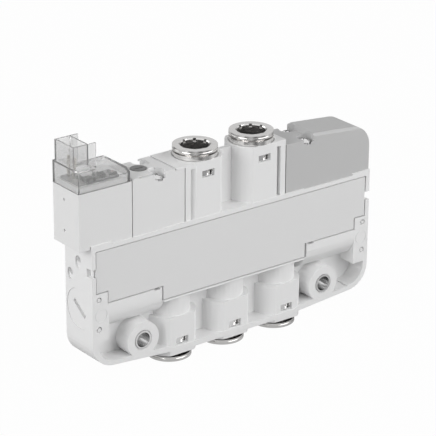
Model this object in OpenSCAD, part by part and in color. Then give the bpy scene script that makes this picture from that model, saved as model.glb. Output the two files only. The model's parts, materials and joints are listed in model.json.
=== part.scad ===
// Slim in-line pneumatic solenoid valve with push-in tube ports above and below.
// The origin lies midway between the two mounting holes, at half the thickness.
// +X runs towards the blank cover, the label faces -Y and +Z points up.

/* [Housing] */
// Length of the housing
body_l = 102; // [98:1:110]
// Thickness of the housing from front to back
body_t = 13.3; // [13.2:0.1:15]
// Height of the seat for the top blocks above the mounting holes
seat_z = 32.5; // [32:0.5:36]
// Height of the end ledges above that seat
end_ledge_h = 0.7; // [0.3:0.1:1.2]
// Height of the port ledges above that seat
port_ledge_h = 0.3; // [0.1:0.1:0.6]
// Depth of the housing's ends below the mounting holes
foot_drop = 5; // [5:0.25:7]
// Extra depth of the bottom flange between the bosses
belly_drop = 2.2; // [1.5:0.1:3]
// Outer radius of the two bottom corners
corner_r = 7.5; // [4:0.5:9]
// Thickness of the end walls and of the bottom flange
wall = 1.6; // [1.2:0.1:2.4]
// Thickness of the web at half depth
web_t = 1.4; // [1:0.1:2.4]
// Bottom of the solid core, above the mounting holes
core_z = 9.8; // [9:0.2:11]
// Bottom of the end blocks
end_block_z = 3.4; // [2:0.2:5]
// Width of each end block
end_block_w = 5.6; // [4.6:0.2:7]
// Inner end of each piston chamber, from the middle
panel_x = 26.1; // [25:0.25:27]

/* [Mounting] */
// Distance between the two mounting holes
hole_pitch = 67.1; // [66.5:0.1:70]
// Outer radius of the mounting bosses
boss_r = 5.5; // [4.5:0.1:5.8]
// Radius of the screw hole in the metal bushes
bush_bore_r = 2.25; // [1.7:0.05:2.6]
// Wall of the metal bushes
bush_wall = 0.5; // [0.4:0.05:0.8]

/* [Label] */
// Length of the label plate
label_l = 98.7; // [94:0.1:98.8]
// Top edge of the label plate
label_top_z = 31; // [30:0.25:31.5]
// Depth of the label's recess
label_depth = 0.7; // [0.4:0.05:0.9]
// Thickness of the label plate
label_t = 0.5; // [0.3:0.05:0.6]

/* [Ports] */
// Distance between the two outlet ports on top
top_pitch = 20.5; // [20:0.25:22]
// Distance between neighbouring ports below
bottom_pitch = 19.5; // [18.5:0.25:20.5]
// Radius of the port towers
tower_r = 7.8; // [7.6:0.05:8.2]
// Radius of the necks above the bottom towers
neck_r = 6.2; // [5.6:0.1:6.6]
// Height of the top towers above the mounting holes
tower_top_z = 49.9; // [48:0.25:52]
// Depth of the bottom towers below the mounting holes
tower_drop = 8.2; // [7.8:0.1:9.5]
// Length of the bottom towers
tower_l = 12.1; // [11.8:0.1:13]
// Diameter of the tube that the ports take
tube_d = 8; // [7.6:0.1:8]
// Clearance round the tube
tube_gap = 0.1; // [0.05:0.05:0.15]
// Radius of the fitting's barrel
barrel_r = 5.85; // [5.75:0.05:5.95]
// Radius of the release collar
collar_r = 6.6; // [6.3:0.1:7]
// Thickness of the release collar
collar_t = 1.2; // [0.8:0.1:1.6]
// Distance that the collar can be pressed in
collar_travel = 0.5; // [0.3:0.05:0.6]

/* [Spool] */
// Height of the spool's axis above the mounting holes
spool_z = 12.1; // [12:0.1:12.8]
// Radius of the spool's bore
spool_bore_r = 3.4; // [3:0.1:3.5]
// Radius of the piston chambers at both ends
piston_r = 5.2; // [4.6:0.1:5.4]
// Radius of the plugs that close the chambers
disc_r = 6.1; // [5.6:0.1:6.1]
// Distance that the spool shifts
spool_stroke = 2.4; // [1.5:0.1:3]

/* [Pilot] */
// Width of the blocks on top, from front to back
block_w = 12.6; // [12.2:0.1:13]
// Overhang of the pilot block past the housing's end
pilot_overhang = 3.8; // [2.5:0.1:5]
// Length of the adapter block beside it
adapter_l = 18.05; // [17.5:0.05:18.8]
// Top of the pilot block, above the mounting holes
pilot_top_z = 49.5; // [48.5:0.25:50]
// Radius of the solenoid coil
coil_r = 5.2; // [4.6:0.1:5.3]
// Diameter of the manual override button
button_d = 4.6; // [3.5:0.1:4.8]
// Distance that the button can be pressed
button_travel = 1.2; // [0.6:0.1:1.5]
// Distance of the block screws from the middle of the housing
screw_x = 27; // [26.6:0.1:27.4]
// Distance between the two screws of a block
screw_pitch = 8.2; // [7.6:0.1:8.3]

/* [Clear cover] */
// Wall of the clear cover
clear_wall = 0.6; // [0.4:0.05:0.8]
// Height of the clear cover under the connector
clear_h = 6.6; // [6:0.1:7.5]
// Height of the connector tower
plug_h = 5.9; // [5:0.1:7]
// Outer size of the connector tower along the valve
plug_l = 5.2; // [5.1:0.1:6]
// Outer size of the connector tower across the valve
plug_w = 9.2; // [8:0.1:9.4]

/* [Blank cover] */
// Fall of the blank cover's top towards its end, in degrees
cover_slope = 5; // [0:0.5:6]
// Step between the blank cover's end and the housing's end
cover_inset = 0.3; // [0.1:0.1:1]
// Height of the blank cover's raised top above the seat
cover_h = 16.7; // [15:0.1:18]
// Depth of the lowered top round the cover's screws
cover_step = 1.2; // [0.8:0.1:1.6]
// Radius of the cover's outer top corner
cover_r = 7; // [6:0.25:8]

/* [Hidden] */

$fn = 64;
eps = 0.01;
seat_gap = 0.05;          // clearance between a pressed-in piece and its seat
run_gap = 0.05;           // radial clearance of a sliding piece

half_l = body_l / 2;
half_t = body_t / 2;
block_y = block_w / 2;
tower_y = half_t - 0.15;  // the towers' flat faces stand just behind the rim
floor_z = -foot_drop;
belly_z = floor_z - belly_drop;
inner_x = half_l - wall;
core_top_z = seat_z + port_ledge_h;
end_top_z = seat_z + end_ledge_h;

rib_x = 18.2;             // outer face of the ribs beside the top towers
rib_t = 1.8;
block_x = rib_x + 0.35;    // inner end of the adapter and of the blank cover
port_ledge_x = 25.3;      // outer end of the port ledges
end_ledge_x = 44.2;       // inner end of the end ledges

boss_x = hole_pitch / 2;
bush_r = bush_bore_r + bush_wall;

label_x = label_l / 2;
label_step_x = half_l - end_block_w;
label_end_z = 18.5;       // bottom of the label's narrow ends
label_panel_z = 14.9;     // bottom of the label over the front panels
label_mid_z = core_z + 0.8;
label_gap = 0.3;          // joint round the label, with a groove under it
label_notch_w = 2;        // small notch in the label's lower edge over each chamber

tube_r = tube_d / 2;
bore_r = tube_r + tube_gap;
port_x = [0, top_pitch / 2, bottom_pitch, -top_pitch / 2, -bottom_pitch];
port_up = [false, true, false, true, false];
flange_t = 1.25;          // thickness of the fitting's flange
port_seal_t = 0.3;        // thickness of the black ring under the bottom collars
collar_gap = collar_travel + 0.05;
barrel_l = tower_l - 0.5;
tube_stop = barrel_l + 2.4;
sunk_flange_r = barrel_r + 0.25;
clip_depth = 4.1;         // depth of the clip's middle below the tower's face
clip_w = 4.4;
clip_h = 2.2;
clip_groove_r = barrel_r - 0.5;
sleeve_r = bore_r + 0.65;
sleeve_l = 4.9;
grip_z = -sleeve_l - 0.9;
seal_z = grip_z - 1.6;
cord_r = 0.6;             // radius of the seals' cord

spool_half = half_l - 15;
piston_l = 4.5;
stop_gap = 0.1;
disc_t = 2.2;             // thickness of the plugs' discs
disc_sink = 0.2;          // depth of the discs behind the end faces
plug_x = half_l - disc_sink - disc_t;
chamber_x = spool_half - spool_stroke - 0.3;                   // inner end of the piston chambers
left_stop_x = spool_half + piston_l + stop_gap;
right_stop_x = left_stop_x + spool_stroke;    // the plug's skirt stops the spool
spring_r = 3;
spring_wire_r = 0.4;
spring_seat = 1.6;        // depth of the spring's seat in the piston
spring_x0 = spool_half + piston_l - spring_seat;
spring_x1 = plug_x;
tube_wall_r = 4.3;        // radius of the housing's wall round the spool
passage_r = 2.8;
spool_neck_r = 1.7;
seal_x = [for (k = [-2.5:1:2.5]) k * bottom_pitch / 2];

pilot_x0 = -half_l - pilot_overhang;
gasket_t = 0.3;
adapter_x0 = -block_x - adapter_l;
pilot_x1 = adapter_x0 - gasket_t;
pilot_l = pilot_x1 - pilot_x0;
pilot_z = (seat_z + pilot_top_z) / 2 + 0.3;
coil_bore_r = 2.6;
pole_plate_t = 0.6;
coil_x0 = pilot_x0 + 0.1 * pilot_l + pole_plate_t;
coil_l = 0.65 * pilot_l;
flange_w = 0.8;           // width of the bobbin's flanges
armature_r = coil_bore_r - 0.3 - run_gap;
armature_l = 0.39 * pilot_l;
armature_travel = 0.5;
armature_x = pilot_x1 - 2 - armature_l;
armature_seat = 0.43 * armature_l;            // depth of the spring's seat
adapter_top_z = tower_top_z;
tongue_t = 0.7;
tongue_x = rib_x + 3.3;
button_x = adapter_x0 + 6.4;
button_top = 0.05;        // height of the button above the adapter
button_l = 6;
screw_y = screw_pitch / 2;
screw_head_r = 1.9;
screw_head_h = 1.5;
screw_r = 1;
screw_sink = 1.3;         // depth of the screw heads below the adapter's top
screw_grip = 5;           // length of the screws inside the housing
screw_end_z = seat_z - screw_grip;
recess_r = screw_head_r + 0.45;
lip_h = 0.35;             // fall of the lips along the adapter's top edges
lip_w = 0.6;
lip_groove_w = 0.5;       // groove behind each lip
lip_groove_h = 1.5;
plate_gap = 0.45;         // joint between the adapter's plate and the housing's tongue

clear_z0 = pilot_top_z;
clear_x0 = pilot_x0;
clear_x1 = pilot_x1 - 0.6;
clear_y = block_y + 0.05;
lens_end_h = 4;           // height of the clear cover at its low end
lens_front_h = 3;         // height of the clear cover's straight front
lens_slope_a = 33;        // slope of the lens towards the front and the back
lens_top_x = clear_x1 - 4.2;
plug_x0 = clear_x0 + 0.8;
plug_y1 = clear_y;
plug_y0 = plug_y1 - plug_w;
plug_z0 = clear_z0 + clear_h;
plug_wall = 0.48;
ear_l = 2.4;
board_z = clear_z0 + 1.6;
board_t = 0.5;
board_y = clear_y - 1.9;
pin_pitch = 2.5;

cover_x1 = half_l - cover_inset;
cover_top_z = seat_z + cover_h;
cover_low_z = cover_top_z - cover_step;
cover_step_x = screw_x + 1.7;
cover_edge = 1.1;         // side of the square whose corner cuts the edges' chamfers

housing_c = [0.87, 0.87, 0.86];
block_c = [0.82, 0.82, 0.82];
dark_c = [0.62, 0.62, 0.62];
steel_c = [0.75, 0.74, 0.72];
brass_c = [0.78, 0.66, 0.38];
seal_c = [0.08, 0.08, 0.08];

// Points along an arc about c, from angle a0 to a1
function arc(c, r, a0, a1, n = 8) =
    [for (i = [0:n]) let (a = a0 + (a1 - a0) * i / n) c + r * [cos(a), sin(a)]];
function mirrored(pts) = [for (i = [len(pts) - 1:-1:0]) [-pts[i][0], pts[i][1]]];
function both_sides(pts) = concat(pts, mirrored(pts));

// An outline in X and Z, drawn through from y0 to y1
module slab_y(pts, y0, y1)
    translate([0, y1, 0]) rotate([90, 0, 0]) linear_extrude(y1 - y0) polygon(pts);

module box(x0, x1, y0, y1, z0, z1)
    translate([x0, y0, z0]) cube([x1 - x0, y1 - y0, z1 - z0]);

module cyl_y(r, y0, y1) translate([0, y1, 0]) rotate([90, 0, 0]) cylinder(r = r, h = y1 - y0);
module cyl_x(r, x0, x1) translate([x0, 0, 0]) rotate([0, 90, 0]) cylinder(r = r, h = x1 - x0);

module torus(ring_r, r) rotate_extrude() translate([ring_r, 0]) circle(r = r, $fn = 24);

// A coil spring along Z, with closed ends
module coil_spring(ring_r, wire_r, length, turns, sides = 6, steps = 14) {
    n = turns * steps;
    pts = [for (i = [0:n]) for (j = [0:sides - 1])
        let (a = 360 * i / steps, b = 360 * j / sides,
            rise = min(max((i - steps) / (n - 2 * steps), 0), 1),
            lead = wire_r * 1.05 * 2 * (min(i, steps) + max(i - n + steps, 0)) / steps,
            z = wire_r + lead + rise * (length - 2 * wire_r - 4.2 * wire_r),
            r = ring_r + wire_r * cos(b))
        [r * cos(a), r * sin(a), z + wire_r * sin(b)]];
    sides_f = [for (i = [0:n - 1]) for (j = [0:sides - 1])
        let (k = (j + 1) % sides)
        [i * sides + j, (i + 1) * sides + j, (i + 1) * sides + k, i * sides + k]];
    ends_f = [[for (j = [0:sides - 1]) j], [for (j = [sides - 1:-1:0]) n * sides + j]];
    polyhedron(pts, concat(sides_f, ends_f));
}

// Moves to a port's face, with +Z pointing out of the port
module at_port(p) {
    i = p - 1;
    if (port_up[i]) translate([port_x[i], 0, tower_top_z]) children();
    else translate([port_x[i], 0, -tower_drop]) mirror([0, 0, 1]) children();
}

// Housing

function outer_half() = concat(
    [[22, belly_z], [24.5, belly_z + 0.7], [half_l - corner_r - 5, floor_z - 0.4]],
    arc([half_l - corner_r, floor_z + corner_r], corner_r, -90, 0),
    [[half_l, end_top_z], [end_ledge_x, end_top_z], [end_ledge_x, seat_z],
     [port_ledge_x, seat_z], [port_ledge_x, core_top_z]]);

function pocket_half() = concat(
    [[0, belly_z + wall], [22.5, belly_z + wall], [25, belly_z + wall + 1],
     [inner_x - corner_r + 1.6, floor_z + wall - 0.3]],
    arc([inner_x - corner_r + wall, floor_z + corner_r], corner_r - wall, -90, 0),
    [[inner_x, end_block_z], [half_l - end_block_w, end_block_z],
     [half_l - end_block_w, spool_z], [panel_x, spool_z], [panel_x, core_z], [0, core_z]]);

module label_outline(gap, y0, y1) {
    x = label_x + gap;
    s = label_step_x + gap;
    p = panel_x + 2 * gap + 0.1;
    slab_y(both_sides([[p, label_mid_z - gap], [p, label_panel_z - gap],
        [s, label_panel_z - gap], [s, label_end_z - gap], [x, label_end_z - gap],
        [x, label_top_z + gap]]), y0, y1);
}

module bottom_tower() {
    intersection() {
        translate([0, 0, -tower_drop]) cylinder(r = tower_r, h = tower_l);
        box(-tower_r - 1, tower_r + 1, -tower_y, tower_y, -tower_drop - 1, core_z);
    }
    translate([0, 0, -tower_drop + tower_l - eps])
        cylinder(r = neck_r, h = core_z + tower_drop - tower_l + 1);
}

module top_tower() {
    intersection() {
        translate([0, 0, seat_z]) cylinder(r = tower_r, h = tower_top_z - seat_z);
        box(-tower_r - 1, tower_r + 1, -tower_y, tower_y, seat_z - 1, tower_top_z + 1);
    }
}

// Rib beside a top tower, with the shelf that joins them and its tongue over the block
module tower_rib() {
    box(rib_x - rib_t, rib_x, -block_y, block_y, seat_z, tower_top_z);
    box(top_pitch / 2, rib_x, -block_y, block_y, tower_top_z - 1.7, tower_top_z);
}

module port_bores(p) at_port(p) {
    translate([0, 0, -barrel_l - 0.4]) cylinder(r = barrel_r + seat_gap, h = barrel_l + 1);
    translate([0, 0, -tube_stop]) cylinder(r = bore_r, h = tube_stop);
    passage_l = port_up[p - 1] ? tower_top_z - spool_z : tower_drop + spool_z;
    translate([0, 0, -passage_l]) cylinder(r = passage_r, h = passage_l);
}

// Groove in a top tower under the edge of the fitting's flange
module flange_groove() intersection() {
    box(-tower_r, tower_r, -tower_y + 0.3, tower_y - 0.3, -0.45, 1);
    difference() {
        translate([0, 0, -0.45]) cylinder(r = collar_r + 0.3, h = 1);
        translate([0, 0, -1]) cylinder(r = collar_r - 0.5, h = 3);
    }
}

module ring_mark(r, line, depth) difference() {
    cyl_y(r, -half_t - 1, -half_t + depth);
    cyl_y(r - line, -half_t - 2, -half_t + 1);
}

// Shallow round-ended slot along Z in the left end face, with a deep hole at its upper end
module end_slot(y, z, w, h) translate([-half_l, y, z]) {
    for (s = [-1, 1]) translate([0, 0, s * (h - w) / 2]) cyl_x(w / 2, -1, 0.6);
    box(-1, 0.6, -w / 2, w / 2, -(h - w) / 2, (h - w) / 2);
    translate([0, 0, (h - w) / 2 + 0.15]) cyl_x(w / 2 - 0.15, -1, 6);
}

module valve_body() color(housing_c) difference() {
    union() {
        difference() {
            slab_y(both_sides(outer_half()), -half_t, half_t);
            slab_y(both_sides(pocket_half()), -half_t - 1, -web_t / 2);
            slab_y(both_sides(pocket_half()), web_t / 2, half_t + 1);
        }
        for (s = [-1, 1]) translate([s * boss_x, 0, 0]) cyl_y(boss_r, -half_t, half_t);
        for (p = [1, 3, 5]) translate([port_x[p - 1], 0, 0]) bottom_tower();
        for (p = [2, 4]) translate([port_x[p - 1], 0, 0]) top_tower();
        translate([0, 0, spool_z]) {
            for (s = [-1, 1]) mirror([s < 0 ? 1 : 0, 0, 0]) cyl_x(half_t, panel_x, half_l - 1);
            cyl_x(tube_wall_r, -panel_x - 1, panel_x + 1);
        }
        tower_rib();
        mirror([1, 0, 0]) tower_rib();
        box(-tongue_x, -rib_x + rib_t, -block_y, block_y, tower_top_z - tongue_t, tower_top_z);
        box(-top_pitch / 4, top_pitch / 4, -web_t / 2, web_t / 2, seat_z, tower_top_z - 0.3);
    }
    for (p = [1:5]) port_bores(p);
    for (p = [1, 3, 5]) at_port(p) translate([0, 0, -flange_t])
        cylinder(r = sunk_flange_r + seat_gap, h = flange_t + 1);
    for (p = [2, 4]) at_port(p) flange_groove();
    for (p = [1:5]) at_port(p) box(-clip_w / 2, clip_w / 2, -half_t - 1, -clip_groove_r,
        -clip_depth - clip_h / 2, -clip_depth + clip_h / 2);
    for (s = [-1, 1]) translate([s * boss_x, 0, 0]) {
        cyl_y(bush_r, -half_t - 1, half_t + 1);
        for (t = [-1, 1]) translate([0, t * half_t, 0]) cyl_y(bush_r + 0.25, -0.5, 0.5);
    }
    label_outline(label_gap, -half_t - 1, -half_t + label_depth);
    difference() {
        label_outline(label_gap, -half_t, -half_t + label_depth + 0.5);
        label_outline(-0.5, -half_t - 1, -half_t + label_depth + 1);
    }
    translate([0, 0, spool_z]) {
        cyl_x(spool_bore_r, -half_l, half_l);
        for (m = [0, 1]) mirror([m, 0, 0]) {
            cyl_x(piston_r, chamber_x, half_l);
            cyl_x(disc_r + seat_gap, plug_x, half_l + 1);
        }
    }
    end_slot(0.2, 26.4, 2.6, 3.9);
    end_slot(4.2, 21.6, 2.6, 3.7);
    for (s = [-1, 1]) {
        translate([s * (half_l - 2.3), 0, 16.4]) ring_mark(0.9, 0.4, 0.8);
        translate([s * (half_l - 2.3), 0, 7.3]) ring_mark(0.9, 0.4, 0.8);
        translate([s * (half_l - 2.9), 0, 11.6]) ring_mark(2.1, 0.2, 0.12);
        for (t = [-1, 1]) translate([s * screw_x, t * screw_y, screw_end_z])
            cylinder(r = screw_r + seat_gap, h = 20);
        box(min(s * (half_l + 1), s * (half_l - 1.4)), max(s * (half_l + 1), s * (half_l - 1.4)),
            -half_t - 1, -half_t + 2.6, 23.4, 26);
    }
    for (x = passage_x) translate([x, 0, seat_z - 12]) cylinder(r = 0.9, h = 20);
    for (s = [-1, 1]) translate([s * (panel_x + 2.4), 0, label_panel_z - 0.1])
        box(-label_notch_w / 2, label_notch_w / 2, -half_t - 1, -half_t + label_depth + 0.8,
            -0.6, 0.4);
}

module label_plate() color([0.78, 0.78, 0.78])
    label_outline(0, -half_t + label_depth - label_t, -half_t + label_depth);

// A plug's disc, with a screwdriver slot; +X points into the housing
module plug_disc() difference() {
    cyl_x(disc_r, -half_l + disc_sink, -plug_x);
    translate([-half_l + disc_sink, 0, 0]) rotate([35, 0, 0])
        box(-1, 1, -0.55 * disc_r, 0.55 * disc_r, -0.65, 0.65);
}

module end_disc() color(housing_c) translate([0, 0, spool_z]) difference() {
    union() {
        plug_disc();
        cyl_x(0.65 * piston_r, -plug_x - eps, -left_stop_x);
    }
    cyl_x(0.4 * piston_r, -plug_x + 1, -left_stop_x + 1);
}

module spool_plug() color(housing_c) translate([0, 0, spool_z]) {
    mirror([1, 0, 0]) plug_disc();
    difference() {
        cyl_x(piston_r - seat_gap, right_stop_x, plug_x + eps);
        cyl_x(spring_r + spring_wire_r + 0.3, right_stop_x - 1, plug_x + 1);
    }
}

module mounting_bushes() color(steel_c) for (s = [-1, 1]) translate([s * boss_x, 0, 0])
    difference() {
        cyl_y(bush_r, -half_t - 0.1, half_t + 0.1);
        cyl_y(bush_bore_r, -half_t - 1, half_t + 1);
    }

// Spool and pistons

module spool() color(steel_c) translate([0, 0, spool_z]) difference() {
    union() {
        cyl_x(spool_neck_r, -spool_half, spool_half);
        for (x = seal_x) cyl_x(spool_bore_r - 0.3, x - 1.5, x + 1.5);
    }
    for (x = seal_x) difference() {
        cyl_x(spool_bore_r + 1, x - cord_r - 0.05, x + cord_r + 0.05);
        cyl_x(spool_bore_r - 2 * cord_r - 0.1, x - 2, x + 2);
    }
}

module ring_seal_x(x, r) translate([x, 0, 0]) rotate([0, 90, 0]) torus(r - cord_r - 0.04, cord_r);

module spool_seals() color(seal_c) translate([0, 0, spool_z])
    for (x = seal_x) ring_seal_x(x, spool_bore_r);

module piston(x0) difference() {
    cyl_x(piston_r - 0.08, x0, x0 + piston_l);
    difference() {
        cyl_x(piston_r + 1, x0 + 1, x0 + 1 + 2 * cord_r + 0.1);
        cyl_x(piston_r - 2 * cord_r - 0.1, x0 - 1, x0 + piston_l + 1);
    }
}

module pilot_piston() color(block_c) translate([0, 0, spool_z]) difference() {
    mirror([1, 0, 0]) piston(spool_half);
    cyl_x(0.3 * piston_r, -spool_half - piston_l - 1, -spool_half - piston_l + 1.5);
}

module return_piston() color(block_c) translate([0, 0, spool_z]) difference() {
    piston(spool_half);
    cyl_x(spring_r + spring_wire_r + 0.2, spring_x0, spool_half + piston_l + 1);
}

module piston_seals() color(seal_c) translate([0, 0, spool_z])
    for (m = [0, 1]) mirror([m, 0, 0])
        ring_seal_x(spool_half + 1 + cord_r + 0.05, piston_r);

module return_spring() color(steel_c) translate([spring_x0, 0, spool_z]) rotate([0, 90, 0])
    coil_spring(spring_r, spring_wire_r, spring_x1 - spring_x0, 6);

// Push-in fittings; +Z points out of the port

function stop_z(p) = port_up[p - 1] ? flange_t : port_seal_t;
function flange_top(p) = port_up[p - 1] ? flange_t : 0;
function ring_t(p) = port_up[p - 1] ? collar_t : collar_t + flange_t / 5;

module cartridge(p) color(steel_c) at_port(p) difference() {
    union() {
        translate([0, 0, -barrel_l]) cylinder(r = barrel_r, h = barrel_l);
        translate([0, 0, flange_top(p) - flange_t])
            cylinder(r = port_up[p - 1] ? collar_r : sunk_flange_r, h = flange_t);
    }
    translate([0, 0, -barrel_l - 1]) cylinder(r = bore_r, h = barrel_l + 4);
    translate([0, 0, grip_z - 0.2]) cylinder(r = sleeve_r + run_gap, h = 20);
    translate([0, 0, seal_z - cord_r - 0.1]) cylinder(r = bore_r + 2 * cord_r + 0.1,
        h = 2 * cord_r + 0.2);
    translate([0, 0, -clip_depth - clip_h / 2]) difference() {
        cylinder(r = barrel_r + 1, h = clip_h);
        cylinder(r = clip_groove_r, h = clip_h);
    }
}

module release_collar(p) color(steel_c) at_port(p) translate([0, 0, stop_z(p) + collar_gap])
    difference() {
        union() {
            cylinder(r = collar_r, h = ring_t(p));
            translate([0, 0, -sleeve_l - collar_gap - stop_z(p)])
                cylinder(r = sleeve_r, h = sleeve_l + collar_gap + stop_z(p) + 0.1);
        }
        translate([0, 0, -sleeve_l - 5]) cylinder(r = bore_r + 0.1, h = sleeve_l + 9);
        translate([0, 0, ring_t(p) - 0.45]) cylinder(r1 = bore_r - 0.05, r2 = bore_r + 0.45, h = 0.5);
        translate([0, 0, 0.45]) difference() {
            cylinder(r = collar_r + 1, h = 0.22);
            cylinder(r = collar_r - 0.2, h = 0.22);
        }
        for (a = [10:45:359]) rotate(a)
            box(bore_r - 0.5, bore_r + 0.55, -0.45, 0.45, ring_t(p) - 1, ring_t(p) + 1);
    }

module grip_ring(p) color(steel_c) at_port(p) translate([0, 0, grip_z]) difference() {
    cylinder(r = sleeve_r - 0.02, h = 0.3);
    translate([0, 0, -1]) cylinder(r = bore_r + 0.05, h = 3);
    for (a = [0:30:359]) rotate(a) box(0, bore_r + 0.35, -0.25, 0.25, -1, 1);
}

module tube_seal(p) color(seal_c) at_port(p) translate([0, 0, seal_z])
    torus(bore_r + cord_r + 0.05, cord_r);

module port_seals() color(seal_c) for (p = [1, 3, 5]) at_port(p) difference() {
    cylinder(r = sunk_flange_r - 0.1, h = port_seal_t);
    translate([0, 0, -1]) cylinder(r = sleeve_r + 0.35, h = 3);
}

module port_clips() color(steel_c) for (p = [1:5]) at_port(p)
    translate([0, 0, -clip_depth]) difference() {
        box(-clip_w / 2 + 0.1, clip_w / 2 - 0.1, -clip_groove_r - 0.55, -clip_groove_r - 0.02,
            -clip_h / 2 + 0.1, clip_h / 2 - 0.1);
        box(-0.1, 1.8, -half_t - 1, 0, -0.75, 0.75);
    }

// Pilot adapter with the manual override

passage_x = [-screw_x - 6.2, -screw_x - 2.2];

// Hole with a recess for the head, which opens through the side wall above notch_z
module screw_hole(s, t, top, open = 0, notch_z = 0) translate([s * screw_x, t * screw_y, 0]) {
    translate([0, 0, top - screw_sink - screw_head_h]) cylinder(r = recess_r, h = 20);
    translate([0, 0, seat_z - 1]) cylinder(r = screw_r + 0.15, h = 40);
    if (open > 0) translate([-open, t > 0 ? 0 : -block_w, notch_z])
        cube([2 * open, block_w, 20]);
}

function adapter_outline() = [[adapter_x0, seat_z], [-port_ledge_x, seat_z],
    [-port_ledge_x, core_top_z], [-block_x, core_top_z],
    [-block_x, tower_top_z - tongue_t], [-tongue_x - 0.15, tower_top_z - tongue_t],
    [-tongue_x - 0.15, adapter_top_z], [adapter_x0 + 0.4, adapter_top_z],
    [adapter_x0, adapter_top_z - 0.4]];

module pilot_adapter() color(block_c) difference() {
    union() {
        slab_y(adapter_outline(), -block_y, block_y);
        translate([0, 0, pilot_z]) cyl_x(1.1, armature_x + armature_l + 0.25, adapter_x0 + 1);
    }
    for (t = [-1, 1]) {
        screw_hole(-1, t, adapter_top_z, 1.8, adapter_top_z - 2.1);
        translate([0, t * block_y, 0]) {
            box(adapter_x0 + 2.2, -screw_x, -lip_w, lip_w, adapter_top_z - lip_h,
                adapter_top_z + 1);
            translate([0, -t * (lip_w + lip_groove_w / 2), 0])
                box(adapter_x0 + 2.2, -screw_x, -lip_groove_w / 2 - 0.01, lip_groove_w / 2,
                    adapter_top_z - lip_groove_h, adapter_top_z + 1);
        }
    }
    box(-tongue_x - plate_gap - 0.05, -tongue_x + 0.3, -block_y + 0.4, block_y - 0.4,
        adapter_top_z - 2, adapter_top_z + 1);
    translate([button_x, 0, adapter_top_z - 9.5]) cylinder(r = button_d / 2 + run_gap, h = 12);
    translate([button_x, 0, adapter_top_z - 0.4]) cylinder(r = button_d / 2 + 0.3, h = 1);
    translate([button_x, 0, adapter_top_z - 12.5]) cylinder(r = 1, h = 8);
    translate([0, 0, pilot_z]) cyl_x(0.5, adapter_x0 - 3, button_x);
    box(plate_x0 - 0.25, -tongue_x + 1, -block_y - 1, block_y + 1,
        adapter_top_z - plate_t - plate_sink, adapter_top_z + 1);
    for (x = passage_x) translate([x, 0, seat_z - 1]) {
        cylinder(r = 0.9, h = 5);
        cylinder(r = 1.75, h = 1.7);
    }
}

plate_t = 0.6;
plate_sink = 0.15;        // depth of the plate's top below the adapter's
plate_x0 = -screw_x + 1.1;

module adapter_plate() color([0.72, 0.72, 0.72]) difference() {
    box(plate_x0, -tongue_x - plate_gap, -block_y, block_y,
        adapter_top_z - plate_t - plate_sink, adapter_top_z - plate_sink);
    for (t = [-1, 1]) screw_hole(-1, t, adapter_top_z);
    box(plate_x0 - 1, plate_x0 + 1, 1.4, 2.9, adapter_top_z - 2, adapter_top_z + 1);
}

module passage_seals() color(seal_c) for (x = passage_x) translate([x, 0, seat_z + 0.35])
    torus(1.33, 0.35);

module override_button() color([0.3, 0.3, 0.3]) translate([button_x, 0, adapter_top_z])
    difference() {
        translate([0, 0, button_top - button_l]) cylinder(r = button_d / 2, h = button_l);
        translate([0, 0, button_top - 0.5]) box(-1.5, 1.5, -0.3, 0.3, 0, 2);
        difference() {
            translate([0, 0, -3.75]) cylinder(r = button_d, h = 1.1);
            translate([0, 0, -5]) cylinder(r = button_d / 2 - 0.75, h = 5);
        }
    }

module override_seal() color(seal_c) translate([button_x, 0, adapter_top_z - 3.2])
    torus(button_d / 2 - 0.38, 0.36);

spring_z0 = adapter_top_z - 9.5;

module override_spring() color(steel_c) translate([button_x, 0, spring_z0])
    coil_spring(1.5, 0.25, adapter_top_z + button_top - button_l - spring_z0, 5);

// Pilot valve with its solenoid

module pilot_gasket() color(seal_c) difference() {
    box(pilot_x1, adapter_x0, -block_y + 0.4, block_y - 0.4, seat_z + 0.5, pilot_top_z - 0.4);
    translate([0, 0, pilot_z]) cyl_x(coil_r, pilot_x1 - 1, adapter_x0 + 1);
}

// The underside that hangs past the housing is rounded from front to back
module pilot_shape() difference() {
    slab_y([[pilot_x0, end_top_z - 0.9], [-half_l - 0.25, end_top_z - 0.9],
        [-half_l - 0.25, end_top_z], [-end_ledge_x, end_top_z], [-end_ledge_x, seat_z],
        [pilot_x1, seat_z], [pilot_x1, pilot_top_z], [pilot_x0, pilot_top_z]],
        -block_y, block_y);
    for (s = [-1, 1]) translate([pilot_x0 - 1, s * block_y, end_top_z - 0.9])
        rotate([s * 18, 0, 0]) translate([0, s > 0 ? -9 : -0.2, -3])
        cube([pilot_overhang + 0.75, 9.2, 3]);
}

module pilot_housing() color(block_c) difference() {
    pilot_shape();
    translate([0, 0, pilot_z]) cyl_x(coil_r + seat_gap, coil_x0 - pole_plate_t, pilot_x1 + 1);
    for (z = [46, 36.7]) translate([0, 0.9, z]) cyl_x(0.45, pilot_x0 - 1, pilot_x0 + 1.2);
    for (t = [-1, 1]) translate([plug_x0 + plug_l / 2, (plug_y0 + plug_y1) / 2
        + t * pin_pitch / 2, pilot_top_z - 1.5]) cylinder(r = 0.5, h = 3, $fn = 24);
}

module coil_bobbin() color([0.2, 0.2, 0.2]) translate([0, 0, pilot_z]) difference() {
    union() {
        cyl_x(coil_bore_r + 0.5, coil_x0, coil_x0 + coil_l);
        cyl_x(coil_r, coil_x0, coil_x0 + flange_w);
        cyl_x(coil_r, coil_x0 + coil_l - flange_w, coil_x0 + coil_l);
    }
    cyl_x(coil_bore_r - 0.3, coil_x0 - 1, coil_x0 + coil_l + 1);
}

module solenoid_coil() color([0.72, 0.4, 0.2]) translate([0, 0, pilot_z]) difference() {
    cyl_x(coil_r - 0.3, coil_x0 + flange_w, coil_x0 + coil_l - flange_w);
    cyl_x(coil_bore_r + 0.5, coil_x0, coil_x0 + coil_l);
}

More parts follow.
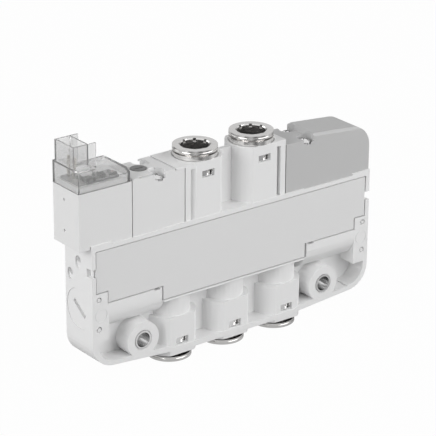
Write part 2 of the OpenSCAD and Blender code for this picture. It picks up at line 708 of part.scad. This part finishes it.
module pole_piece() color(steel_c) translate([0, 0, pilot_z]) {
    cyl_x(coil_bore_r - 0.3, coil_x0, armature_x - armature_travel - 0.1);
    cyl_x(coil_r, coil_x0 - pole_plate_t, coil_x0);
}

module armature() color(steel_c) translate([0, 0, pilot_z]) difference() {
    cyl_x(armature_r, armature_x, armature_x + armature_l);
    cyl_x(1.3, armature_x - 1, armature_x + armature_seat);
    cyl_x(1.2, armature_x + armature_l - 0.8, armature_x + armature_l + 1);
}

module armature_seal() color(seal_c) translate([0, 0, pilot_z])
    cyl_x(1.2, armature_x + armature_l - 0.8, armature_x + armature_l + 0.2);

module armature_spring() color(steel_c)
    translate([armature_x - armature_travel - 0.1, 0, pilot_z]) rotate([0, 90, 0])
    coil_spring(0.95, 0.2, armature_seat + armature_travel + 0.1, 4);

// Clear cover with the connector, and the board under it

function clear_outline(gap) = let (z0 = clear_z0 - (gap > 0 ? 1 : 0), z1 = clear_z0 + clear_h - gap)
    [[clear_x0 + gap, z0], [clear_x1 - gap, z0], [clear_x1 - gap, clear_z0 + lens_end_h - gap],
     [lens_top_x, z1], [clear_x0 + gap, z1]];

// Cuts the lens down to its straight front, beside the full-height end block
module lens_slope(gap)
    translate([plug_x0 + plug_l + gap, gap - clear_y, clear_z0 + lens_front_h - gap * 0.6])
    rotate([lens_slope_a, 0, 0]) translate([0, -6, 0]) cube([20, 14, 9]);

module clear_shell(gap) difference() {
    slab_y(clear_outline(gap), -clear_y + gap, clear_y - gap);
    lens_slope(gap);
    mirror([0, 1, 0]) lens_slope(gap);
}

module clear_cover() color([0.55, 0.55, 0.56, 0.5]) difference() {
    union() {
        clear_shell(0);
        box(plug_x0, plug_x0 + plug_l, plug_y0, plug_y1, plug_z0 - 1.4, plug_z0 + plug_h);
        for (y = [plug_y0, plug_y1 - plug_wall])
            box(plug_x0 + plug_l - 0.2, plug_x0 + plug_l + ear_l, y, y + plug_wall,
                plug_z0 - 3.4, plug_z0 + plug_h);
    }
    clear_shell(clear_wall);
    box(plug_x0 + plug_wall, plug_x0 + plug_l - plug_wall, plug_y0 + plug_wall,
        plug_y1 - plug_wall, plug_z0 - 0.4, plug_z0 + plug_h + 1);
    for (t = [-1, 1]) translate([plug_x0 + plug_l / 2, (plug_y0 + plug_y1) / 2
        + t * pin_pitch / 2, 0]) box(-0.4, 0.4, -0.4, 0.4, clear_z0, plug_z0);
}

carrier_gap = 0.1;

module board_carrier() color([0.8, 0.8, 0.8]) difference() {
    box(clear_x0 + clear_wall + carrier_gap, clear_x1 - clear_wall - carrier_gap,
        -clear_y + clear_wall + carrier_gap, clear_y - clear_wall - carrier_gap,
        clear_z0, board_z);
    for (t = [-1, 1]) translate([plug_x0 + plug_l / 2, (plug_y0 + plug_y1) / 2
        + t * pin_pitch / 2, 0]) box(-0.35, 0.35, -0.35, 0.35, clear_z0 - 1, board_z + 1);
}

module circuit_board() color([0.12, 0.14, 0.12]) difference() {
    union() {
        box(clear_x0 + 3, clear_x1 - 2.6, -board_y, 0.4, board_z, board_z + board_t);
        box(clear_x0 + 1.6, plug_x0 + plug_l, -board_y, board_y, board_z, board_z + board_t);
        for (i = [0:2]) translate([clear_x0 + 4 + 3.4 * i, 0, 0])
            box(0, 2.2, -board_y + 0.5, -board_y + 2.7 - 0.4 * i, board_z, board_z + 1.5 - 0.2 * i);
    }
    for (t = [-1, 1]) translate([plug_x0 + plug_l / 2, (plug_y0 + plug_y1) / 2
        + t * pin_pitch / 2, 0]) box(-0.35, 0.35, -0.35, 0.35, board_z - 1, board_z + 3);
}

module signal_led() color([0.8, 0.25, 0.15])
    translate([clear_x1 - 3.6, -board_y + 1.6, board_z + board_t]) cylinder(r = 0.6, h = 0.7);

module contact_pins() color(brass_c) for (t = [-1, 1])
    translate([plug_x0 + plug_l / 2, (plug_y0 + plug_y1) / 2 + t * pin_pitch / 2, 0])
    box(-0.32, 0.32, -0.32, 0.32, pilot_top_z - 1.5, plug_z0 + 1.6);

// Screws and blank cover

module screw(s, t, top) translate([s * screw_x, t * screw_y, top - screw_sink])
    difference() {
        union() {
            translate([0, 0, -screw_head_h]) intersection() {
                cylinder(r = screw_head_r, h = screw_head_h);
                translate([0, 0, screw_head_h - 1.4 * screw_head_r]) sphere(r = 1.4 * screw_head_r);
            }
            translate([0, 0, screw_end_z + 0.3 - top + screw_sink])
                cylinder(r = screw_r, h = top - screw_sink - 0.5 - screw_end_z);
        }
        for (a = [0, 90]) rotate(a + 30) box(-1.2, 1.2, -0.22, 0.22, -0.7, 1);
    }

module adapter_screws() color(steel_c) for (t = [-1, 1]) screw(-1, t, adapter_top_z);

cover_screw_top = cover_low_z + 0.9;
// The arc at the end starts where the sloping top meets it
cover_arc_z = cover_top_z - cover_r * cos(cover_slope)
    - (cover_x1 - cover_r + cover_r * sin(cover_slope) - cover_step_x - 0.9) * tan(cover_slope);

module cover_screws() color(steel_c) for (t = [-1, 1]) screw(1, t, cover_screw_top);

function cover_outline() = concat(
    [[block_x, core_top_z], [port_ledge_x, core_top_z], [port_ledge_x, seat_z],
     [end_ledge_x, seat_z], [end_ledge_x, end_top_z], [cover_x1, end_top_z]],
    arc([cover_x1 - cover_r, cover_arc_z], cover_r, 0, 90 - cover_slope, 12),
    [[cover_step_x + 0.9, cover_top_z], [cover_step_x + 0.2, cover_top_z - 0.3],
     [cover_step_x - 0.5, cover_low_z], [block_x, cover_low_z]]);

module blank_cover() color(dark_c) difference() {
    slab_y(cover_outline(), -block_y, block_y);
    for (t = [-1, 1]) {
        screw_hole(1, t, cover_screw_top, 1.9, cover_low_z - 1.2);
        translate([cover_step_x, t * block_y, cover_top_z]) rotate([0, cover_slope, 0])
            rotate([45, 0, 0]) cube([2 * body_l, cover_edge, cover_edge], center = true);
    }
    box(screw_x + 4.6, cover_x1 - 1.5, -block_y + 1.5, block_y - 1.5, seat_z - 1,
        cover_arc_z - 1);
}

valve_body();
label_plate();
end_disc();
spool_plug();
spool();
spool_seals();
pilot_piston();
return_piston();
piston_seals();
return_spring();
mounting_bushes();
cartridge(1);  // cartridge_1
cartridge(2);  // cartridge_2
cartridge(3);  // cartridge_3
cartridge(4);  // cartridge_4
cartridge(5);  // cartridge_5
release_collar(1);  // release_collar_1
release_collar(2);  // release_collar_2
release_collar(3);  // release_collar_3
release_collar(4);  // release_collar_4
release_collar(5);  // release_collar_5
grip_ring(1);  // grip_ring_1
grip_ring(2);  // grip_ring_2
grip_ring(3);  // grip_ring_3
grip_ring(4);  // grip_ring_4
grip_ring(5);  // grip_ring_5
tube_seal(1);  // tube_seal_1
tube_seal(2);  // tube_seal_2
tube_seal(3);  // tube_seal_3
tube_seal(4);  // tube_seal_4
tube_seal(5);  // tube_seal_5
port_seals();
port_clips();
pilot_adapter();
adapter_plate();
passage_seals();
override_button();
override_seal();
override_spring();
pilot_gasket();
pilot_housing();
solenoid_coil();
coil_bobbin();
pole_piece();
armature();
armature_seal();
armature_spring();
clear_cover();
board_carrier();
circuit_board();
signal_led();
contact_pins();
adapter_screws();
blank_cover();
cover_screws();
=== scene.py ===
"""A slim pneumatic valve dressed for a studio picture.

Moulded plastics, nickel ports and a clear plug cover over a small circuit board.
"""

import json
import math

import bpy
from mathutils import Matrix, Vector


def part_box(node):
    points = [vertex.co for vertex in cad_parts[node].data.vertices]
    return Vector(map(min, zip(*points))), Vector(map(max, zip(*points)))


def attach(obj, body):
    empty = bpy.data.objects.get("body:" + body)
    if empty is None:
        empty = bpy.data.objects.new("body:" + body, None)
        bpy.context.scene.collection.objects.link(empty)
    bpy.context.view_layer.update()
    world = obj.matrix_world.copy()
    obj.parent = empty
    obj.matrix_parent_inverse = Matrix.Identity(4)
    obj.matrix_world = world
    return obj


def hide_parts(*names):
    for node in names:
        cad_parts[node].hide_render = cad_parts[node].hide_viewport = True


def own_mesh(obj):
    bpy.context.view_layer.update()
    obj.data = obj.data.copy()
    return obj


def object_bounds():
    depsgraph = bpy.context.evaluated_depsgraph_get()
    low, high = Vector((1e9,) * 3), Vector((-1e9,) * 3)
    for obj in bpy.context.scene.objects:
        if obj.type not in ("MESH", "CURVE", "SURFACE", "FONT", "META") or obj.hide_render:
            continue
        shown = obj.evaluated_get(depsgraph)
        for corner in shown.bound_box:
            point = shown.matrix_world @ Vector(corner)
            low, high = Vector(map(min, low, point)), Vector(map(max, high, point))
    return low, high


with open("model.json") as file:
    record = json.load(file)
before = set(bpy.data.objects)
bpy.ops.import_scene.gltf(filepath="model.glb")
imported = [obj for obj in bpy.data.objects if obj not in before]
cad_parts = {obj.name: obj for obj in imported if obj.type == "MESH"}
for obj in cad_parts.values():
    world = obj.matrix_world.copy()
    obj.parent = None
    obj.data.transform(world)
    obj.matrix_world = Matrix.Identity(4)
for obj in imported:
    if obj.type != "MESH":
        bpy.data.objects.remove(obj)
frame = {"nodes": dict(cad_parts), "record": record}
cad_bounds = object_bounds()
nodes = frame["nodes"]
MM = 0.001


# Finishes

def new_material(name):
    """A material with its node tree and its main shader."""
    material = bpy.data.materials.new(name)
    material.use_nodes = True
    tree = material.node_tree
    return material, tree, tree.nodes["Principled BSDF"]


FINE_DETAIL = 4.0          # octaves of the noises in the finishes
TEXTURE_DEPTH = 0.02 * MM  # height of the moulds' texture
TURNING_DEPTH = 0.01 * MM  # height of the tool marks on metal


def grain(tree, scale, low, high, detail=FINE_DETAIL):
    """A noise in object coordinates, spread between two values."""
    place = tree.nodes.new("ShaderNodeTexCoord")
    noise = tree.nodes.new("ShaderNodeTexNoise")
    noise.inputs["Scale"].default_value = scale
    noise.inputs["Detail"].default_value = detail
    tree.links.new(place.outputs["Object"], noise.inputs["Vector"])
    spread = tree.nodes.new("ShaderNodeMapRange")
    spread.inputs["To Min"].default_value = low
    spread.inputs["To Max"].default_value = high
    tree.links.new(noise.outputs["Fac"], spread.inputs["Value"])
    return spread.outputs["Result"]


def bump(tree, shader, height, strength, distance):
    """Lets a height in object coordinates tilt the surface's shading."""
    node = tree.nodes.new("ShaderNodeBump")
    node.inputs["Strength"].default_value = strength
    node.inputs["Distance"].default_value = distance
    tree.links.new(height, node.inputs["Height"])
    tree.links.new(node.outputs["Normal"], shader.inputs["Normal"])


def uneven_colour(tree, shader, colour, darker, scale):
    """The colour in patches, down to the darker share of itself."""
    tint = tree.nodes.new("ShaderNodeMix")
    tint.data_type = "RGBA"
    tint.inputs["A"].default_value = (*[part * darker for part in colour], 1)
    tint.inputs["B"].default_value = (*colour, 1)
    tree.links.new(grain(tree, scale, 0, 1), tint.inputs["Factor"])
    tree.links.new(tint.outputs["Result"], shader.inputs["Base Color"])


def moulded_plastic(name, colour, roughness, texture=0.25):
    """Satin plastic with a fine spark-eroded texture and slightly uneven tone."""
    material, tree, shader = new_material(name)
    uneven_colour(tree, shader, colour, 0.985, 60)
    tree.links.new(grain(tree, 900, roughness - 0.05, roughness + 0.05),
                   shader.inputs["Roughness"])
    shader.inputs["IOR"].default_value = 1.48
    bump(tree, shader, grain(tree, 6000, 0, 1), texture, TEXTURE_DEPTH)
    return material


def plated_metal(name, colour, roughness, turned=0.0):
    """Bright plated or turned metal with fine uneven polish."""
    material, tree, shader = new_material(name)
    shader.inputs["Metallic"].default_value = 1.0
    uneven_colour(tree, shader, colour, 0.93, 700)
    tree.links.new(grain(tree, 1500, roughness * 0.8, roughness * 1.3), shader.inputs["Roughness"])
    if turned:
        bump(tree, shader, grain(tree, 4000, 0, 1), turned, TURNING_DEPTH)
    return material


def clear_plastic(name, colour, clearness):
    """Smoky plastic, partly see-through and slightly milky."""
    material, tree, shader = new_material(name)
    shader.inputs["Base Color"].default_value = (*colour, 1)
    shader.inputs["Transmission Weight"].default_value = clearness
    shader.inputs["IOR"].default_value = 1.42
    tree.links.new(grain(tree, 500, 0.02, 0.06), shader.inputs["Roughness"])
    return material


PAD_FADE = (-51.2 * MM, -50.6 * MM)  # where the pale plastic under the connector ends


def populated_board(name):
    """Dark varnish with patches for the smallest parts, and pale under the connector."""
    material, tree, shader = new_material(name)
    place = tree.nodes.new("ShaderNodeTexCoord")
    cells = tree.nodes.new("ShaderNodeTexVoronoi")
    cells.inputs["Scale"].default_value = 620
    tree.links.new(place.outputs["Object"], cells.inputs["Vector"])
    parts = tree.nodes.new("ShaderNodeValToRGB")
    ramp = parts.color_ramp
    ramp.interpolation = "CONSTANT"
    ramp.elements[0].color = (0.03, 0.035, 0.03, 1)
    ramp.elements[1].position = 0.45
    ramp.elements[1].color = (0.09, 0.095, 0.09, 1)
    pale = ramp.elements.new(0.8)
    pale.color = (0.42, 0.42, 0.41, 1)
    tree.links.new(cells.outputs["Color"], parts.inputs["Fac"])
    along = tree.nodes.new("ShaderNodeSeparateXYZ")
    tree.links.new(place.outputs["Object"], along.inputs[0])
    pad = tree.nodes.new("ShaderNodeMapRange")
    pad.inputs["From Min"].default_value, pad.inputs["From Max"].default_value = PAD_FADE
    tree.links.new(along.outputs["X"], pad.inputs["Value"])
    surface = tree.nodes.new("ShaderNodeMix")
    surface.data_type = "RGBA"
    surface.inputs["A"].default_value = (0.36, 0.36, 0.35, 1)
    tree.links.new(pad.outputs["Result"], surface.inputs["Factor"])
    tree.links.new(parts.outputs["Color"], surface.inputs["B"])
    tree.links.new(surface.outputs["Result"], shader.inputs["Base Color"])
    shader.inputs["Roughness"].default_value = 0.35
    return material


FINISHES = {
    "housing_plastic": moulded_plastic("housing_white_plastic", (0.80, 0.80, 0.80), 0.48),
    "block_plastic": moulded_plastic("block_light_plastic", (0.76, 0.76, 0.76), 0.46),
    "cover_plastic": moulded_plastic("blank_cover_grey_plastic", (0.51, 0.51, 0.51), 0.5),
    "label_film": moulded_plastic("label_grey_film", (0.73, 0.73, 0.73), 0.42, 0.08),
    "clear_plastic": clear_plastic("smoky_clear_plastic", (0.85, 0.85, 0.85), 0.87),
    "nickel": plated_metal("nickel_plating", (0.82, 0.81, 0.80), 0.2, 0.1),
    "steel": plated_metal("zinc_steel", (0.80, 0.80, 0.80), 0.16, 0.15),
    "aluminium": plated_metal("turned_aluminium", (0.72, 0.72, 0.73), 0.3, 0.2),
    "seal_rubber": moulded_plastic("black_rubber", (0.02, 0.02, 0.02), 0.6, 0.2),
    "dark_plastic": moulded_plastic("dark_board_plastic", (0.06, 0.065, 0.06), 0.4, 0.1),
    "button_plastic": moulded_plastic("button_grey_plastic", (0.20, 0.20, 0.20), 0.45, 0.2),
    "copper_winding": plated_metal("copper_wire", (0.70, 0.36, 0.2), 0.3, 0.3),
    "contact_brass": plated_metal("contact_brass", (0.62, 0.59, 0.53), 0.25),
    "lamp_plastic": moulded_plastic("tinted_lamp_plastic", (0.42, 0.35, 0.33), 0.2, 0.05),
}

for entry in frame["record"]["subparts"]:
    node = nodes[entry["node"]]
    node.data.materials.clear()
    node.data.materials.append(FINISHES[entry["material_slot"]])
nodes["circuit_board"].data.materials[0] = populated_board("board_with_parts")
nodes["board_carrier"].data.materials[0] = moulded_plastic(
    "carrier_white_plastic", (0.88, 0.88, 0.88), 0.46)


# Rounded edges of the moulded pieces

WELD_REACH = 0.004 * MM    # joins the corners that the CAD's faces share
SHARP_ANGLE = 40           # an edge that turns more than this is rounded


def round_edges(name, width):
    """Rounds a node's sharp edges, to a width in mm."""
    node = nodes[name]
    weld = node.modifiers.new("weld", "WELD")
    weld.merge_threshold = WELD_REACH
    bevel = node.modifiers.new("round", "BEVEL")
    bevel.width = width * MM
    bevel.segments = 2
    bevel.limit_method = "ANGLE"
    bevel.angle_limit = math.radians(SHARP_ANGLE)
    bevel.use_clamp_overlap = True
    bevel.harden_normals = True


for name, width in (("pilot_housing", 0.25), ("pilot_adapter", 0.1), ("blank_cover", 0.3),
                    ("valve_body", 0.18)):
    round_edges(name, width)


# Small parts on the circuit board, seen through the clear cover

BOARD_T = 0.5 * MM         # thickness of the board under its parts
BOARD_CORNER = Vector(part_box("circuit_board")[0]) + Vector((0, 0, BOARD_T))
SMOOTH_ANGLE = 35          # flatter edges of a new piece are shaded smooth


def bevelled_block(low, size, edge):
    """One small part; its low corner and size in mm, from the board's front left corner."""
    centre = [low[axis] + size[axis] / 2 for axis in range(3)]
    place = BOARD_CORNER + Vector(centre) * MM
    bpy.ops.object.select_all(action="DESELECT")
    bpy.ops.mesh.primitive_cube_add(size=1, location=place, scale=[side * MM for side in size])
    block = bpy.context.object
    bpy.ops.object.transform_apply(location=True, rotation=True, scale=True)
    bpy.ops.object.mode_set(mode="EDIT")
    bpy.ops.mesh.select_all(action="SELECT")
    bpy.ops.mesh.bevel(offset=edge * MM, segments=2)
    bpy.ops.object.mode_set(mode="OBJECT")
    return block


def joined(name, blocks, slot):
    """Joins the blocks into one piece that rides on the valve, with the slot's finish."""
    bpy.ops.object.select_all(action="DESELECT")
    for block in blocks:
        block.select_set(True)
    bpy.context.view_layer.objects.active = blocks[0]
    bpy.ops.object.join()
    piece = bpy.context.object
    piece.name = name
    piece.data.name = name
    bpy.ops.object.shade_smooth_by_angle(angle=math.radians(SMOOTH_ANGLE))
    piece.data.materials.clear()
    piece.data.materials.append(FINISHES[slot])
    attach(piece, "valve")


def board_parts():
    """Chips, capacitors and solder joints: low corners and sizes in mm on the board."""
    chips = [bevelled_block(low, size, 0.12) for low, size in (
        ((4.8, 0.2, 0.0), (0.8, 2.0, 0.95)), ((8.2, 0.15, 0.0), (0.8, 2.1, 1.05)),
        ((11.6, 0.1, 0.0), (1.1, 0.8, 0.85)), ((6.9, 2.95, 0.0), (1.6, 1.2, 0.8)))]
    caps = [bevelled_block(low, size, 0.08) for low, size in (
        ((4.0, 3.0, 0.0), (0.5, 1.0, 0.5)), ((4.9, 3.0, 0.0), (0.5, 1.0, 0.5)),
        ((5.8, 3.0, 0.0), (0.5, 1.0, 0.5)), ((10.2, 2.9, 0.0), (1.0, 0.5, 0.5)))]
    solder = [bevelled_block((x, 0.05, 0.0), (0.4, 0.35, 0.2), 0.09)
              for x in (1.6, 2.3, 3.0, 3.7, 6.2, 6.9, 9.6, 10.3)]
    joined("board_chips", chips, "dark_plastic")
    joined("board_caps", caps, "block_plastic")
    joined("board_solder", solder, "steel")


board_parts()


# Wire coils in place of the springs that the joints work

# Radius of each spring's wire in mm, and its turns
COILS = {"override_spring": (0.25, 5), "return_spring": (0.4, 6), "armature_spring": (0.2, 4)}
WIRE_SIDES = 8
STEPS_PER_TURN = 20


def wound_coil(node, axis):
    """A wire coil in the place of the CAD's rigid spring; axis 0 is X and axis 2 is Z."""
    wire, turns = COILS[node][0] * MM, COILS[node][1]
    low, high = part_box(node)
    ring = (high[1] - low[1]) / 2 - wire
    bpy.ops.object.select_all(action="DESELECT")
    bpy.ops.mesh.primitive_circle_add(vertices=WIRE_SIDES, radius=wire, fill_type="NGON",
                                      location=(ring, 0, 0), rotation=(math.pi / 2, 0, 0))
    coil = bpy.context.object
    bpy.ops.object.transform_apply(location=True, rotation=True, scale=True)
    wind = coil.modifiers.new("wind", "SCREW")
    wind.axis = "Z"
    wind.iterations = turns
    wind.steps = wind.render_steps = STEPS_PER_TURN
    wind.screw_offset = (high[axis] - low[axis] - 2 * wire) / turns
    bpy.ops.object.modifier_apply(modifier="wind")
    bpy.ops.object.mode_set(mode="EDIT")
    bpy.ops.mesh.select_all(action="SELECT")
    bpy.ops.mesh.fill_holes(sides=0)
    bpy.ops.mesh.normals_make_consistent(inside=False)
    bpy.ops.object.mode_set(mode="OBJECT")
    middle = [(low[side] + high[side]) / 2 for side in range(3)]
    middle[axis] = low[axis] + wire
    coil.location = middle
    coil.rotation_euler = (0, math.pi / 2, 0) if axis == 0 else (0, 0, 0)
    bpy.ops.object.transform_apply(location=True, rotation=True, scale=True)
    return coil


def springs():
    """Puts a wire coil in place of each spring that the record lets change."""
    for joint in frame["record"]["behaviour"]["joints"]:
        for spring in joint.get("deforming_nodes", []):
            node = spring["node"]
            axis = "xyz".index(spring["mode"][-1])
            coil = wound_coil(node, axis)
            joined(node + "_coil", [coil], "steel")
            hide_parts(node)
            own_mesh(coil)


springs()


# Floor, light and camera

FLOOR_SIZE = 3
FLOOR_GAP = 0.1 * MM       # clear space under the valve
PATCH_SCALE = 9            # size of the light and dark patches that metal mirrors
PATCH_DETAIL = 0.5
# What each kind of ray sees of the white glow; the rest is a plain grey floor
GLOW_SHARES = (("Is Glossy Ray", 0.95), ("Is Transmission Ray", 0.9), ("Is Camera Ray", 0.98))


def studio_floor(z):
    """A floor that looks white, but lights the valve from below like a grey one."""
    bpy.ops.object.select_all(action="DESELECT")
    bpy.ops.mesh.primitive_plane_add(size=FLOOR_SIZE, location=(0, 0, z))
    floor = bpy.context.object
    floor.name = "studio_floor"
    material, tree, shader = new_material("floor_white")
    shader.inputs["Base Color"].default_value = (0.42, 0.42, 0.42, 1)
    shader.inputs["Roughness"].default_value = 0.9
    shader.inputs["Specular IOR Level"].default_value = 0.1
    glow = tree.nodes.new("ShaderNodeEmission")
    glow.inputs["Color"].default_value = (1, 1, 1, 1)
    path = tree.nodes.new("ShaderNodeLightPath")
    patches = tree.nodes.new("ShaderNodeMapRange")
    patches.inputs["From Min"].default_value = 0.38
    patches.inputs["From Max"].default_value = 0.62
    patches.inputs["To Min"].default_value = 0.15
    patches.inputs["To Max"].default_value = 0.80
    tree.links.new(grain(tree, PATCH_SCALE, 0, 1, PATCH_DETAIL), patches.inputs["Value"])
    mirrored = tree.nodes.new("ShaderNodeMix")
    mirrored.inputs["A"].default_value = 1.0
    tree.links.new(path.outputs["Is Glossy Ray"], mirrored.inputs["Factor"])
    tree.links.new(patches.outputs["Result"], mirrored.inputs["B"])
    strength = tree.nodes.new("ShaderNodeMix")
    strength.inputs["B"].default_value = 1.0
    tree.links.new(path.outputs["Is Transmission Ray"], strength.inputs["Factor"])
    tree.links.new(mirrored.outputs["Result"], strength.inputs["A"])
    tree.links.new(strength.outputs["Result"], glow.inputs["Strength"])
    share = None
    for ray, white in GLOW_SHARES:
        level = tree.nodes.new("ShaderNodeMix")
        tree.links.new(path.outputs[ray], level.inputs["Factor"])
        level.inputs["A"].default_value = 0.0
        level.inputs["B"].default_value = white
        if share is not None:
            tree.links.new(share, level.inputs["A"])
        share = level.outputs["Result"]
    blend = tree.nodes.new("ShaderNodeMixShader")
    tree.links.new(share, blend.inputs[0])
    tree.links.new(shader.outputs[0], blend.inputs[1])
    tree.links.new(glow.outputs[0], blend.inputs[2])
    tree.links.new(blend.outputs[0], tree.nodes["Material Output"].inputs["Surface"])
    floor.data.materials.append(material)


def studio_world(light, backdrop, low_sky, high_sky):
    """Plain light; mirrors see a sky that brightens upwards, the camera sees the backdrop."""
    world = bpy.data.worlds.new("studio")
    bpy.context.scene.world = world
    world.use_nodes = True
    tree = world.node_tree
    back = tree.nodes["Background"]
    back.inputs["Color"].default_value = (1, 1, 1, 1)
    path = tree.nodes.new("ShaderNodeLightPath")
    direction = tree.nodes.new("ShaderNodeTexCoord")
    parts = tree.nodes.new("ShaderNodeSeparateXYZ")
    tree.links.new(direction.outputs["Generated"], parts.inputs[0])
    sky = tree.nodes.new("ShaderNodeMapRange")
    sky.inputs["From Min"].default_value = 0.0
    sky.inputs["From Max"].default_value = 0.5
    sky.inputs["To Min"].default_value = low_sky
    sky.inputs["To Max"].default_value = high_sky
    tree.links.new(parts.outputs["Z"], sky.inputs["Value"])
    strength = sky.outputs["Result"]
    mirrored = path.outputs["Is Glossy Ray"]
    for ray, level in ((mirrored, None), (path.outputs["Is Camera Ray"], backdrop),
                       (path.outputs["Is Transmission Ray"], backdrop)):
        blend = tree.nodes.new("ShaderNodeMix")
        tree.links.new(ray, blend.inputs["Factor"])
        blend.inputs["A"].default_value = light
        if level is None:
            tree.links.new(strength, blend.inputs["B"])
        else:
            tree.links.new(strength, blend.inputs["A"])
            blend.inputs["B"].default_value = level
        strength = blend.outputs["Result"]
    tree.links.new(strength, back.inputs["Strength"])


LIGHT_AIM = Vector((0, 0, 0.02))


def soft_box(name, place, size, watts):
    """A broad lamp that points at the valve."""
    data = bpy.data.lights.new(name, "AREA")
    data.shape = "RECTANGLE"
    data.size, data.size_y = size
    data.energy = watts
    lamp = bpy.data.objects.new(name, data)
    bpy.context.scene.collection.objects.link(lamp)
    lamp.location = place
    lamp.rotation_euler = (LIGHT_AIM - Vector(place)).to_track_quat("-Z", "Y").to_euler()


# The photo's camera, as fitted to its edges
VIEW_TURN = math.radians(37.591)
VIEW_TILT = math.radians(22.267)
VIEW_ROLL = math.radians(0.428)
VIEW_PLACE = Vector((-0.377945, -0.488707, 0.280337))
VIEW_LENS = 188.22


def photo_camera():
    """A camera at the photo's place and angle."""
    data = bpy.data.cameras.new("photo_camera")
    data.sensor_width = 36
    data.lens = VIEW_LENS
    data.clip_end = 20
    camera = bpy.data.objects.new("photo_camera", data)
    bpy.context.scene.collection.objects.link(camera)
    ahead = Vector((math.sin(VIEW_TURN) * math.cos(VIEW_TILT),
                    math.cos(VIEW_TURN) * math.cos(VIEW_TILT), -math.sin(VIEW_TILT)))
    right = Vector((math.cos(VIEW_TURN), -math.sin(VIEW_TURN), 0))
    up = right.cross(ahead)
    right, up = (right * math.cos(VIEW_ROLL) + up * math.sin(VIEW_ROLL),
                 up * math.cos(VIEW_ROLL) - right * math.sin(VIEW_ROLL))
    axes = Matrix((right, up, -ahead)).transposed().to_4x4()
    camera.matrix_world = Matrix.Translation(VIEW_PLACE) @ axes
    bpy.context.scene.camera = camera


studio_floor(cad_bounds[0][2] - FLOOR_GAP)
studio_world(0.28, 1.0, 0.2, 0.9)
soft_box("key", (-0.9, -0.1, 0.35), (0.7, 0.6), 5.5)
soft_box("fill", (0.45, -0.70, 0.46), (1.0, 0.8), 7.0)
soft_box("back", (-0.45, 0.80, 0.45), (0.8, 0.8), 2.2)
photo_camera()

bpy.context.scene.view_settings.view_transform = "Standard"
